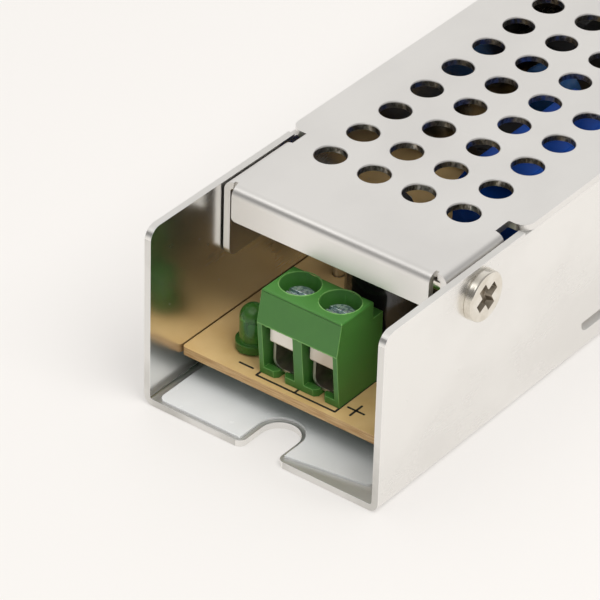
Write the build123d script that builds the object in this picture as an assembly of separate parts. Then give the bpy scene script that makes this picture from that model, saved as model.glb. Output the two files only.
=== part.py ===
from build123d import *
import os

# All sizes are in millimetres. The part stands on its underside and the origin is at that underside's centre.
# +Y runs from the output end to the mains end, and +Z is up.

# Sheet metal of the casing
case_width = 30.0
case_height = 22.0
sheet = 0.8
bend_inside = 0.4
wall_end_rise = 0.3
wall_corner_radius = 1.5
wall_seat_clearance = 0.15

# Open slot in the floor at each end, for a fixing screw
slot_width = 4.5
slot_round_setback = 3.45
slot_mouth_radius = 0.9

# Ledges pressed in from the walls, which carry the board
ledge_length = 7.0
ledge_height = 1.3
ledge_corner_radius = 1.1
ledge_slit = 0.3
ledge_depth = 1.3
ledge_taper = 30
ledge_inset = 35.6

# Cover
cover_overhang_gap = 0.2
cover_wide_setback = 23.8
cover_corner_radius = 1.5
relief_length = 2.35
flange_setback = 11.6
flange_drop = 9.35
flange_corner_radius = 1.2
lip_setback = 10.75
lip_drop = 4.0
lip_corner_radius = 0.5
lip_corner_gap = 0.4

# Round vents in a square grid
vent_diameter = 3.5
vent_pitch = 5.625
vent_columns = 4
vent_end_margin = 9.0

# Cover screws, M3 with a low pan head; one at each end, on opposite walls
cover_screw_setback = 16.0
cover_screw_drop = 3.85
cover_screw_radius = 1.5
cover_screw_hole_radius = 1.7
cover_screw_length = 5.0
cover_screw_head_radius = 2.8
cover_screw_head_height = 1.15
cover_screw_head_rim = 0.25
cover_screw_head_shoulder = 0.8
cover_screw_head_slope = 0.3
recess_span = 3.3
recess_width = 0.8
recess_centre = 1.5
recess_depth = 0.9
recess_taper = 12
thread_clearance = 0.05

# Printed circuit board
board_thickness = 1.0
board_top = 4.7
board_side_clearance = 0.1
board_setback = 5.1
board_corner_radius = 0.4
lead_clearance = 0.15
lead_tail = 1.5
lead_sides = 8

# White insulating sheet under the board
film_thickness = 0.3
film_left_inset = 0.9
film_right_inset = 1.8
film_setback = 0.3
film_trim = 1.9
film_corner_radius = 0.8
film_slot_margin = 0.45

# Screw terminal, two poles
terminal_setback = 9.67
pole_pitch = 5.08
poles = 2
terminal_height = 10.4
terminal_foot = 3.1
terminal_nose = 3.8
terminal_nose_height = 6.7
terminal_top_back = 2.2
terminal_step_height = 8.3
terminal_back = 3.9
terminal_edge_radius = 0.25
well_radius = 2.175
window_width = 3.9
window_top = 6.5
cavity_back = 2.35
housing_floor = 0.5
sill_height = 0.9
sill_depth = 0.8
notch_width = 0.7
notch_depth = 1.7
notch_mouth = 1.5

# Wire clamp inside each pole: cage, wire guard and M2.5 screw of 0.45 pitch
cage_width = 3.2
cage_strip = 0.3
cage_depth = 4.2
cage_corner_radius = 1.2
cage_top_thickness = 0.7
guard_clearance = 0.05
guard_thickness = 0.35
guard_underside = 4.05
guard_tab_width = 3.0
guard_tab_top = 6.2
guard_tab_setback = 2.9
guard_back = 1.7
guard_rib_depth = 0.4
guard_rib_half_width = 0.7
clamp_travel = 2.0
clamp_screw_radius = 1.25
clamp_head_radius = 1.7
clamp_head_height = 1.9
clamp_head_edge = 0.2
clamp_slot_width = 0.55
clamp_slot_depth = 0.55
terminal_pin_radius = 0.5
terminal_pin_clearance = 0.1

# Indicator, 3 mm domed
indicator_gap = 1.32
indicator_setback = 9.6
indicator_radius = 1.5
indicator_flange_radius = 1.9
indicator_flange_height = 1.0
indicator_flange_flat = 1.6
indicator_height = 5.4
indicator_standoff = 0.2
indicator_pitch = 2.54

# Output capacitors, two standing cans
output_can_radius = 5.0
output_can_height = 12.5
output_can_pitch = 5.0
output_can_x = 2.0
filter_can_radius = 4.0
filter_can_height = 7.8
filter_can_pitch = 3.5
filter_can_side_gap = 1.8
can_edge = 0.5
can_groove_height = 1.6
can_groove_depth = 0.35
can_rim_width = 1.1
can_rim_depth = 0.25
can_gap = 0.9
small_lead_radius = 0.3

# Output rectifier, lying diode
diode_radius = 2.6
diode_length = 9.0
diode_wall_gap = 2.0
diode_offset = 2.6
diode_lead_pitch = 12.0
diode_lead_radius = 0.6
diode_standoff = 0.4

# Transformer: a horizontal coil between two ferrite E halves
transformer_wall_gap = 0.55
transformer_package_gap = 1.94
core_half_length = 9.4
core_thickness = 5.2
core_leg = 2.2
core_back = 2.6
core_centre_width = 4.6
core_joint = 0.06
core_tape_thickness = 0.25
core_tape_width = 18.4
winding_leg_gap = 0.3
winding_height = 11.6
winding_corner_radius = 2.0
bobbin_wall = 0.8
bobbin_flange_margin = 0.2
bobbin_rail_inset = 0.5
bobbin_rail_depth = 3.6
bobbin_rail_height = 3.6
bobbin_clearance = 0.1
bobbin_pins = 4
bobbin_pin_pitch = 3.6
bobbin_pin_radius = 0.35
transformer_gap = 3.63

# Optocoupler and controller, moulded dual in line packages
package_width = 6.4
package_height = 3.3
package_standoff = 0.5
package_row_pitch = 7.62
package_pin_pitch = 2.54
package_taper = 8
package_leg_width = 0.5
package_leg_thickness = 0.25
package_mark_radius = 0.8
package_mark_depth = 0.3
optocoupler_length = 4.6
optocoupler_pins = 2
optocoupler_gap = 1.0
controller_length = 9.6
controller_pins = 4
controller_offset = 18.1
package_wall_gap = 1.79

# Disc parts, dipped, standing on two wires; their faces slope towards a thin rim
disc_lead_rise = 1.2
disc_slope_width = 1.7
disc_rim_thickness = 1.4
safety_disc_radius = 4.0
safety_disc_thickness = 3.4
safety_disc_pitch = 6.0
safety_disc_wall_gap = 2.2
safety_disc_gap = 1.2
thermistor_radius = 4.2
thermistor_thickness = 3.6
thermistor_pitch = 5.0
thermistor_wall_gap = 2.4
thermistor_offset = 3.6

# Mains capacitor, standing can
mains_can_radius = 6.25
mains_can_height = 14.8
mains_can_pitch = 5.0
mains_can_wall_gap = 1.35
mains_can_gap = 2.5

# Bridge rectifier, flat package on four wires
bridge_thickness = 3.8
bridge_length = 14.0
bridge_height = 10.6
bridge_corner = 2.6
bridge_pins = 4
bridge_pin_pitch = 3.8
bridge_pin_radius = 0.4
bridge_standoff = 1.4
bridge_wall_gap = 2.7
bridge_gap = 1.2

# Mains choke: a ferrite drum with a copper winding
choke_radius = 4.5
choke_height = 11.0
choke_flange = 1.6
choke_neck_radius = 2.2
choke_winding_radius = 4.1
choke_pitch = 5.0
choke_wall_gap = 2.1
choke_gap = 2.4

# Film capacitor across the mains, moulded box
film_box_side_gap = 1.55
film_box_length = 10.5
film_box_height = 10.4
film_box_edge = 0.4
film_box_pitch = 7.5

# Fuse, round moulded box
fuse_radius = 4.2
fuse_height = 7.6
fuse_edge = 0.4
fuse_pitch = 5.08
fuse_wall_gap = 0.8
fuse_gap = 1.0

mains_terminal_gap = 4.83

# Places worked out along the board, as distances from the output end
can_one_y = terminal_setback + terminal_back + can_gap + output_can_radius
can_two_y = can_one_y + output_can_radius + can_gap + filter_can_radius
transformer_front_y = can_two_y + filter_can_radius + transformer_gap
transformer_y = transformer_front_y + core_half_length
transformer_rear_y = transformer_y + core_half_length
mains_can_y = transformer_rear_y + mains_can_gap + mains_can_radius
choke_y = mains_can_y + mains_can_radius + choke_gap + choke_radius
mains_terminal_y = choke_y + choke_radius + mains_terminal_gap + terminal_back
case_length = mains_terminal_y + terminal_setback
diode_y = can_two_y + diode_offset
controller_y = transformer_front_y + controller_offset
safety_disc_y = controller_y + controller_length / 2 + safety_disc_gap + safety_disc_thickness / 2
bridge_y = safety_disc_y + safety_disc_thickness / 2 + bridge_gap + bridge_length / 2
film_box_y = choke_y - choke_radius + film_box_length / 2
fuse_y = bridge_y + bridge_length / 2 + fuse_gap + fuse_radius
thermistor_y = mains_terminal_y - terminal_back + thermistor_offset

# Places worked out across the board, from the walls inwards
wall_inside = case_width / 2 - sheet
package_reach = package_row_pitch / 2
core_width = (2 * (wall_inside - core_tape_thickness - package_reach) - transformer_wall_gap
              - transformer_package_gap - package_wall_gap)
transformer_x = wall_inside - transformer_wall_gap - core_tape_thickness - core_width / 2
diode_x = diode_wall_gap + diode_radius - wall_inside
optocoupler_x = diode_x + diode_radius + optocoupler_gap + optocoupler_length / 2
filter_can_x = optocoupler_x + optocoupler_length / 2 + filter_can_side_gap + filter_can_radius
controller_x = package_wall_gap + package_reach - wall_inside
safety_disc_x = safety_disc_wall_gap + safety_disc_radius - wall_inside
thermistor_x = wall_inside - thermistor_wall_gap - thermistor_thickness / 2
mains_can_x = wall_inside - mains_can_wall_gap - mains_can_radius
bridge_x = bridge_wall_gap + bridge_thickness / 2 - wall_inside
choke_x = wall_inside - choke_wall_gap - choke_radius
fuse_x = fuse_wall_gap + fuse_radius - wall_inside
film_box_left = fuse_x + fuse_radius + film_box_side_gap
film_box_right = choke_x - choke_radius - film_box_side_gap
film_box_width = film_box_right - film_box_left
film_box_x = (film_box_left + film_box_right) / 2
terminal_width = pole_pitch * poles
indicator_x = -(terminal_width / 2 + indicator_gap + indicator_flange_radius)

# Other sizes worked out from the ones above
half_length = case_length / 2
roof = case_height - sheet
bend_outside = bend_inside + sheet
flange_face = wall_inside - cover_overhang_gap
flange_bend_start = flange_face - bend_outside
wide_half = half_length - cover_wide_setback
narrow_half = half_length - lip_setback - bend_outside
board_bottom = board_top - board_thickness
board_half_width = wall_inside - board_side_clearance
lead_foot = -(board_thickness + lead_tail)
coil_centre = bobbin_rail_height + core_thickness / 2
core_depth = core_half_length - core_back
lip_half_width = flange_bend_start - lip_corner_gap
guard_top = guard_underside + guard_thickness
cage_top = guard_top + guard_clearance + cage_top_thickness
clamp_head_bottom = cage_top + clamp_travel + guard_clearance
winding_width = core_width - 2 * (core_leg + winding_leg_gap)
bobbin_rail_width = core_width - 2 * bobbin_rail_inset


def along(distance):
    """Turns a distance from the output end into a place on Y."""
    return distance - half_length


def at_both_ends(shape):
    """Returns the shape at the output end and the same shape turned round to the mains end."""
    return [shape, shape.rotate(Axis.Z, 180)]


def block(x, y, z):
    """A box given by its low and high limit along each axis."""
    size = Box(x[1] - x[0], y[1] - y[0], z[1] - z[0])
    return size.moved(Location(((x[0] + x[1]) / 2, (y[0] + y[1]) / 2, (z[0] + z[1]) / 2)))


def rod(radius, x, y, z):
    """An upright round rod between two heights."""
    return Cylinder(radius, z[1] - z[0]).moved(Location((x, y, (z[0] + z[1]) / 2)))


def cross_rod(radius, x, y, z):
    """A round rod along X between two limits."""
    lying = Cylinder(radius, x[1] - x[0]).rotate(Axis.Y, 90)
    return lying.moved(Location(((x[0] + x[1]) / 2, y, z)))


def turned(points):
    """A solid of revolution about Z from the corners of its half section, given as (radius, height)."""
    return revolve(Plane.XZ * make_face(Polyline(*points, close=True)), Axis.Z)


def in_line(count, pitch):
    """Evenly spaced offsets, centred on zero."""
    return [(i - (count - 1) / 2) * pitch for i in range(count)]


def leads(places, radius, top):
    """Thin wires from the given height down through the board; heights count from the board's top."""
    wire = extrude(RegularPolygon(radius, lead_sides), top - lead_foot)
    return [Pos(x, y, lead_foot) * wire for x, y in places]


# Sheet metal casing

def base_channel():
    """One sheet folded to a U, with a screw slot at each end and ledges pressed in from both walls."""
    tall = roof + wall_end_rise
    outline = Pos(0, tall / 2) * Rectangle(case_width, tall)
    outline = fillet(outline.vertices().group_by(Axis.Y)[0], bend_outside)
    hollow = Pos(0, tall / 2 + sheet) * Rectangle(2 * wall_inside, tall)
    hollow = fillet(hollow.vertices().group_by(Axis.Y)[0], bend_inside)
    body = extrude(Plane.XZ * (outline - hollow), half_length, both=True)

    seat = wide_half + wall_seat_clearance
    body -= block((-case_width, case_width), (-seat, seat), (roof, 2 * tall))
    corners = body.edges().filter_by(Axis.X).filter_by(lambda e: e.center().Z > roof)
    body = fillet(corners.filter_by(lambda e: abs(e.center().Y) > half_length - sheet), wall_corner_radius)

    slot_y = along(slot_round_setback)
    slot = block((-slot_width / 2, slot_width / 2), (-case_length, slot_y), (-sheet, 2 * sheet))
    slot += rod(slot_width / 2, 0, slot_y, (-sheet, 2 * sheet))
    hole = cross_rod(cover_screw_hole_radius, (0, case_width),
                     along(cover_screw_setback), case_height - cover_screw_drop)
    for cut in at_both_ends(slot + hole):
        body -= cut
    mouths = body.edges().filter_by(Axis.Z).filter_by(lambda e: abs(e.center().Z - sheet / 2) < sheet / 4)
    mouths = mouths.filter_by(lambda e: abs(e.center().Y) > half_length - bend_inside)
    body = fillet(mouths, slot_mouth_radius)

    pocket, skin = ledge()
    place = Pos(0, along(ledge_inset + ledge_length / 2), 0)
    for turn in (place, place.inverse()):
        body = body - turn * pocket + turn * skin
        body = body - turn * pocket.mirror(Plane.YZ) + turn * skin.mirror(Plane.YZ)
    return body


def ledge():
    """A ledge of the right wall: a pocket pressed in and sheared open along its top, and the pocket's skin."""
    top = board_bottom + ledge_slit
    face = Plane(origin=(case_width / 2, 0, top), x_dir=(0, 1, 0), z_dir=(-1, 0, 0))
    outline = RectangleRounded(ledge_length, 2 * ledge_height, ledge_corner_radius)
    pressed = extrude(face * outline, ledge_depth, taper=ledge_taper)
    reach = (0, case_width), (-ledge_length, ledge_length)
    pocket = pressed & block(*reach, (0, top))
    return pocket, Pos(-sheet, 0, 0) * pressed & block(*reach, (0, board_bottom)) - pocket


def folded_edge(run, drop, corner):
    """A sheet edge turned down: the bend begins at x = 0 and the edge hangs by drop below the cover's top."""
    centre = case_height - bend_outside
    ring = Pos(0, centre) * (Circle(bend_outside) - Circle(bend_inside))
    corner_square = Pos(bend_outside / 2, centre + bend_outside / 2) * Rectangle(bend_outside, bend_outside)
    quarter = ring & corner_square
    hanging = centre - (case_height - drop)
    leg = Pos(bend_outside - sheet / 2, centre - hanging / 2) * Rectangle(sheet, hanging)
    shape = extrude(Plane.XZ * (quarter + leg), run / 2, both=True)
    corners = shape.edges().filter_by(Axis.X).filter_by(lambda e: e.center().Z < centre - hanging / 2)
    return fillet(corners, corner)


def cover():
    """The top sheet: a wide vented plate, narrower ends with side flanges, and a lip at each end."""
    plate = block((-case_width / 2, case_width / 2), (-wide_half, wide_half), (roof, case_height))
    plate = fillet(plate.edges().filter_by(Axis.Z), cover_corner_radius)
    plate += block((-flange_bend_start, flange_bend_start), (-narrow_half, narrow_half), (roof, case_height))

    flange_end = cover_wide_setback - relief_length
    run = flange_end - flange_setback
    flange = folded_edge(run, flange_drop, flange_corner_radius)
    flange = Pos(flange_bend_start, along(flange_setback + run / 2), 0) * flange
    hole = cross_rod(cover_screw_radius + thread_clearance, (0, case_width),
                     along(cover_screw_setback), case_height - cover_screw_drop)
    lip = folded_edge(2 * lip_half_width, lip_drop, lip_corner_radius).rotate(Axis.Z, -90)
    lip = Pos(0, -narrow_half, 0) * lip
    for edge in (flange - hole, flange.mirror(Plane.YZ), lip):
        for end in at_both_ends(edge):
            plate += end

    rows = int(2 * (narrow_half - vent_end_margin) / vent_pitch) + 1
    vents = [Pos(x, y, roof) * Cylinder(vent_diameter / 2, 4 * sheet)
             for x in in_line(vent_columns, vent_pitch) for y in in_line(rows, vent_pitch)]
    return plate - vents


def cover_screw():
    """A low pan head screw with a cross recess; its head stands on z = 0 and its shank points down."""
    r, top, slope = cover_screw_head_radius, cover_screw_head_height, cover_screw_head_slope
    head = turned([(0, 0), (r, 0), (r, cover_screw_head_rim), (r - slope, cover_screw_head_shoulder),
                   (r - 2 * slope, top), (0, top)])
    cross = Rectangle(recess_span, recess_width) + Rectangle(recess_width, recess_span)
    cross += Rotation(0, 0, 45) * Rectangle(recess_centre, recess_centre)
    recess = extrude(Pos(0, 0, top) * cross, -recess_depth, taper=recess_taper)
    return head - recess + rod(cover_screw_radius, 0, 0, (-cover_screw_length, 0))


def cover_screws():
    """The two cover screws: the right wall's at the output end and the left wall's at the mains end."""
    right = cover_screw().rotate(Axis.Y, 90)
    right = Pos(case_width / 2, along(cover_screw_setback), case_height - cover_screw_drop) * right
    return at_both_ends(right)


# Board and what lies under it

def insulating_sheet():
    """A loose white sheet on the floor, cut by hand: it clears the slots and one corner is trimmed askew."""
    left, right = film_left_inset - wall_inside, wall_inside - film_right_inset
    near, far = along(film_setback), -along(film_setback)
    outline = make_face(Polyline((left, near), (0, near), (right, near + film_trim), (right, far),
                                 (left, far), close=True))
    corners = outline.vertices().filter_by(lambda v: abs(v.X) > slot_width)
    outline = fillet(corners, film_corner_radius)
    half = slot_width / 2 + film_slot_margin
    cut = Pos(0, along(slot_round_setback)) * Circle(half)
    cut += Pos(0, along(0)) * Rectangle(2 * half, 2 * slot_round_setback)
    for slot in (cut, Rotation(0, 0, 180) * cut):
        outline -= slot
    return Pos(0, 0, sheet) * extrude(outline, film_thickness)


def circuit_board(drillings):
    """The board, drilled for every lead; drillings lists (x, y, radius)."""
    outline = fillet(Rectangle(2 * board_half_width, case_length - 2 * board_setback).vertices(),
                     board_corner_radius)
    for x, y, radius in drillings:
        outline -= Pos(x, y) * RegularPolygon(radius + lead_clearance, lead_sides)
    return Pos(0, 0, board_bottom) * extrude(outline, board_thickness)


# Screw terminal; the screws' line is at y = 0 and heights count from the board's top

def terminal_housing():
    """The green moulding: a screwdriver well and a wire window for each pole, and a stepped back."""
    profile = make_face(Polyline((-terminal_foot, 0), (-terminal_nose, terminal_nose_height),
                                 (-terminal_foot, terminal_height), (terminal_top_back, terminal_height),
                                 (terminal_top_back, terminal_step_height),
                                 (terminal_back, terminal_step_height), (terminal_back, 0), close=True))
    body = extrude(Plane.YZ * profile, terminal_width / 2, both=True)
    body = fillet(body.edges().group_by(Axis.Z)[-1], terminal_edge_radius)
    front = terminal_nose + notch_mouth
    for x in in_line(poles, pole_pitch):
        sides = (x - window_width / 2, x + window_width / 2)
        body -= block(sides, (-front, cavity_back), (sill_height, window_top))
        body -= block(sides, (sill_depth - terminal_foot, cavity_back), (housing_floor, window_top))
        body -= rod(well_radius, x, 0, (window_top - housing_floor, 2 * terminal_height))
        body -= rod(terminal_pin_radius + terminal_pin_clearance, x, 0, (-housing_floor, 2 * housing_floor))
        mouth, half = notch_mouth / 2, notch_width / 2
        flare_end, notch_end = mouth - half - terminal_foot, notch_depth - terminal_foot
        notch = make_face(Polyline((-mouth, -front), (mouth, -front), (mouth, -terminal_foot),
                                   (half, flare_end), (half, notch_end), (-half, notch_end),
                                   (-half, flare_end), (-mouth, -terminal_foot), close=True))
        body -= Pos(x, 0, 0) * extrude(notch, sill_height)
    return body


def terminal_contact():
    """A strip folded to a box with a tapped top, and the pin that solders it to the board."""
    inside = cage_width - 2 * cage_strip
    tall = cage_top - housing_floor
    outline = Pos(0, housing_floor + tall / 2) * Rectangle(cage_width, tall)
    outline = fillet(outline.vertices().group_by(Axis.Y)[0], cage_corner_radius)
    room = tall - cage_strip - cage_top_thickness
    hollow = Pos(0, housing_floor + cage_strip + room / 2) * Rectangle(inside, room)
    hollow = fillet(hollow.vertices().group_by(Axis.Y)[0], cage_corner_radius - cage_strip)
    body = extrude(Plane.XZ * (outline - hollow), cage_depth / 2, both=True)
    body -= rod(clamp_screw_radius + thread_clearance, 0, 0, (guard_top, 2 * cage_top))
    return body + rod(terminal_pin_radius, 0, 0, (lead_foot, housing_floor))


def wire_guard():
    """A bent leaf under the screw: it presses on the wire with a ridge and closes the window with its tab."""
    low, top, front = guard_underside, guard_top, -guard_tab_setback
    section = make_face(Polyline((front, low), (-guard_rib_half_width, low), (0, low - guard_rib_depth),
                                 (guard_rib_half_width, low), (guard_back, low), (guard_back, top),
                                 (front + guard_thickness, top), (front + guard_thickness, guard_tab_top),
                                 (front, guard_tab_top), close=True))
    bend = section.vertices().sort_by_distance((front, low))[0]
    section = fillet(bend, guard_thickness)
    body = extrude(Plane.YZ * section, guard_tab_width / 2, both=True)
    leaf_half = cage_width / 2 - cage_strip - guard_clearance
    side = block((leaf_half, guard_tab_width), (front + guard_thickness, 2 * guard_back), (0, guard_tab_top))
    return body - side - side.mirror(Plane.YZ)


def clamp_screw():
    """The clamping screw, its tip on the wire guard."""
    head_top = clamp_head_bottom + clamp_head_height
    head = rod(clamp_head_radius, 0, 0, (clamp_head_bottom, head_top))
    head = chamfer(head.edges().group_by(Axis.Z)[-1], clamp_head_edge)
    half = clamp_slot_width / 2
    head -= block((-cage_width, cage_width), (-half, half), (head_top - clamp_slot_depth, 2 * head_top))
    return head + rod(clamp_screw_radius, 0, 0, (guard_top, clamp_head_bottom))


# Electronic parts; each stands on the board's top at z = 0, about its own centre

def two_leads(pitch):
    """Places of two leads, one pitch apart along X."""
    return [(-pitch / 2, 0), (pitch / 2, 0)]


def indicator():
    """A domed indicator with a flange that has one flat."""
    r, base, rim = indicator_radius, indicator_standoff, indicator_flange_radius
    step = base + indicator_flange_height
    body = turned([(0, base), (rim, base), (rim, step), (r, step), (r, indicator_height - r),
                   (0, indicator_height - r)])
    body += Pos(0, 0, indicator_height - r) * Sphere(r)
    body -= block((indicator_flange_flat, 2 * r), (-2 * r, 2 * r), (0, indicator_height))
    return body + leads(two_leads(indicator_pitch), small_lead_radius, base)


def capacitor_can(radius, height, pitch):
    """A standing can in its sleeve, with the crimped groove near its foot and a sunken top."""
    groove, depth, rim = can_groove_height, can_groove_depth, radius - can_rim_width
    body = turned([(0, 0), (radius, 0), (radius, groove - depth), (radius - depth, groove),
                   (radius, groove + depth), (radius, height - can_edge), (radius - can_edge, height),
                   (rim, height), (rim, height - can_rim_depth), (0, height - can_rim_depth)])
    return body + leads(two_leads(pitch), small_lead_radius, 0)


def output_diode():
    """A lying diode on one bent wire."""
    height = diode_standoff + diode_radius
    reach = diode_lead_pitch / 2
    path = Polyline((0, -reach, lead_foot), (0, -reach, height), (0, reach, height), (0, reach, lead_foot))
    section = Pos(0, -reach, lead_foot) * Circle(diode_lead_radius)
    wire = sweep(section, path=path, transition=Transition.RIGHT)
    return wire + Pos(0, 0, height) * Cylinder(diode_radius, diode_length).rotate(Axis.X, 90)


def moulded_package(length, pins):
    """A dual in line package: a body tapered both ways from its parting line, and legs on both long sides."""
    middle = package_standoff + package_height / 2
    parting = Pos(0, 0, middle) * Rectangle(package_width, length)
    body = extrude(parting, package_height / 2, taper=package_taper)
    body += extrude(parting, -package_height / 2, taper=package_taper)
    mark = Cylinder(package_mark_radius, 2 * package_mark_depth)
    body -= Pos(0, -length / 2, middle + package_height / 2) * mark
    thick, reach = package_leg_thickness, package_reach
    root, shoulder = package_width / 2 - thick, middle - thick
    for y in in_line(pins, package_pin_pitch):
        leg = make_face(Polyline((root, middle), (root, shoulder), (reach - thick, shoulder),
                                 (reach - thick, lead_foot), (reach, lead_foot), (reach, middle), close=True))
        leg = Pos(0, y, 0) * extrude(Plane.XZ * leg, package_leg_width / 2, both=True)
        body += [leg, leg.mirror(Plane.YZ)]
    return body


def package_leads(pins):
    """Places of a package's legs."""
    inner = package_reach - package_leg_thickness / 2
    return [(x, y) for x in (-inner, inner) for y in in_line(pins, package_pin_pitch)]


def dipped_disc(radius, thickness, pitch):
    """A dipped disc that stands on two wires, with faces that slope to its rim."""
    height, half, rim = disc_lead_rise + radius, thickness / 2, disc_rim_thickness / 2
    disc = turned([(0, -half), (radius - disc_slope_width, -half), (radius, -rim), (radius, rim),
                   (radius - disc_slope_width, half), (0, half)])
    disc = Pos(0, 0, height) * disc.rotate(Axis.X, 90)
    return disc + leads(two_leads(pitch), small_lead_radius, height)


def ferrite_half():
    """One E half of the transformer core, its joint face at y = 0 and its back towards -Y."""
    low, high = bobbin_rail_height, bobbin_rail_height + core_thickness
    half, joint = core_width / 2, -core_joint / 2
    back = block((-half, half), (-core_half_length, core_back - core_half_length), (low, high))
    for inner, outer in ((-half, core_leg - half), (half - core_leg, half),
                         (-core_centre_width / 2, core_centre_width / 2)):
        back += block((inner, outer), (-core_half_length, joint), (low, high))
    return back


def core_tape():
    """Wide tape laid over the coil and down the core's sides, with a turn of it round the core halves."""
    foot, shoulder, top = bobbin_rail_height, bobbin_rail_height + core_thickness, 2 * coil_centre
    side, cheek, thick = core_width / 2, winding_width / 2 + bobbin_flange_margin, core_tape_thickness
    over = [(side + thick, foot), (side + thick, shoulder + thick), (cheek + thick, top + thick)]
    under = [(cheek, top), (side, shoulder), (side, foot)]
    right = make_face(Polyline((0, top + thick), *reversed(over), *reversed(under), (0, top), close=True))
    saddle = extrude(Plane.XZ * (right + right.mirror(Plane.YZ)), core_tape_width / 2, both=True)
    turn = Rectangle(2 * (side + thick), 2 * (core_half_length + thick))
    turn -= Rectangle(2 * side, 2 * core_half_length)
    return saddle + Pos(0, 0, foot) * extrude(turn, shoulder - foot)


def transformer_bobbin():
    """The coil former: a tube round the centre leg, a cheek at each end, and two pin rails on the board."""
    inner = Rectangle(core_centre_width + 2 * bobbin_clearance, core_thickness + 2 * bobbin_clearance)
    tube = Rectangle(core_centre_width + 2 * (bobbin_clearance + bobbin_wall),
                     core_thickness + 2 * (bobbin_clearance + bobbin_wall))
    cheek = Rectangle(winding_width + 2 * bobbin_flange_margin, 2 * coil_centre)
    reach = core_depth - bobbin_clearance
    lift = Pos(0, 0, coil_centre)
    body = lift * extrude(Plane.XZ * tube, reach, both=True)
    plates = lift * extrude(Plane.XZ * cheek, reach, both=True)
    body += plates - block((-core_width, core_width), (bobbin_wall - reach, reach - bobbin_wall),
                           (-coil_centre, 3 * coil_centre))
    rail_start = reach - bobbin_wall
    for way in (-1, 1):
        ends = sorted((way * rail_start, way * (rail_start + bobbin_rail_depth)))
        body += block((-bobbin_rail_width / 2, bobbin_rail_width / 2), ends, (0, bobbin_rail_height))
    body -= lift * extrude(Plane.XZ * inner, core_half_length, both=True)
    return body + leads(bobbin_pin_places(), bobbin_pin_radius, 0)


def bobbin_pin_places():
    """Places of the transformer's pins, in two rows."""
    row = core_depth - bobbin_clearance - bobbin_wall + bobbin_rail_depth / 2
    return [(x, y) for y in (-row, row) for x in in_line(bobbin_pins, bobbin_pin_pitch)]


def transformer_winding():
    """The taped coil, wound on the former between its cheeks."""
    outline = fillet(Rectangle(winding_width, winding_height).vertices(), winding_corner_radius)
    outline -= Rectangle(core_centre_width + 2 * (bobbin_clearance + bobbin_wall),
                         core_thickness + 2 * (bobbin_clearance + bobbin_wall))
    half = core_depth - 2 * bobbin_clearance - bobbin_wall
    return Pos(0, 0, coil_centre) * extrude(Plane.XZ * outline, half, both=True)


def bridge_rectifier():
    """A flat upright package with one cut corner, on four wires in a row along Y."""
    low, high = bridge_standoff, bridge_standoff + bridge_height
    half = bridge_length / 2
    face = make_face(Polyline((-half, low), (half, low), (half, high), (bridge_corner - half, high),
                              (-half, high - bridge_corner), close=True))
    body = extrude(Plane.YZ * face, bridge_thickness / 2, both=True)
    return body + leads(bridge_lead_places(), bridge_pin_radius, low)


def bridge_lead_places():
    """Places of the bridge rectifier's wires."""
    return [(0, y) for y in in_line(bridge_pins, bridge_pin_pitch)]


def choke_core():
    """The choke's ferrite drum: a neck between two flanges."""
    r, neck, low, high = choke_radius, choke_neck_radius, choke_flange, choke_height - choke_flange
    drum = turned([(0, 0), (r, 0), (r, low), (neck, low), (neck, high), (r, high), (r, choke_height),
                   (0, choke_height)])
    return drum + leads(two_leads(choke_pitch), small_lead_radius, 0)


def choke_winding():
    """The copper winding round the drum's neck."""
    ring = Circle(choke_winding_radius) - Circle(choke_neck_radius + thread_clearance)
    high = choke_height - choke_flange - thread_clearance
    low = choke_flange + thread_clearance
    return Pos(0, 0, low) * extrude(ring, high - low)


def film_capacitor():
    """A moulded film capacitor."""
    body = block((-film_box_width / 2, film_box_width / 2), (-film_box_length / 2, film_box_length / 2),
                 (0, film_box_height))
    body = chamfer(body.edges().filter_by(Axis.Z) + body.edges().group_by(Axis.Z)[-1], film_box_edge)
    return body + leads(film_lead_places(), small_lead_radius, 0)


def film_lead_places():
    """Places of the film capacitor's leads, in a row along Y."""
    return [(0, y) for y in in_line(2, film_box_pitch)]


def fuse():
    """A round moulded fuse."""
    body = rod(fuse_radius, 0, 0, (0, fuse_height))
    body = chamfer(body.edges().group_by(Axis.Z)[-1], fuse_edge)
    return body + leads(two_leads(fuse_pitch), small_lead_radius, 0)


# Putting the parts in place

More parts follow.
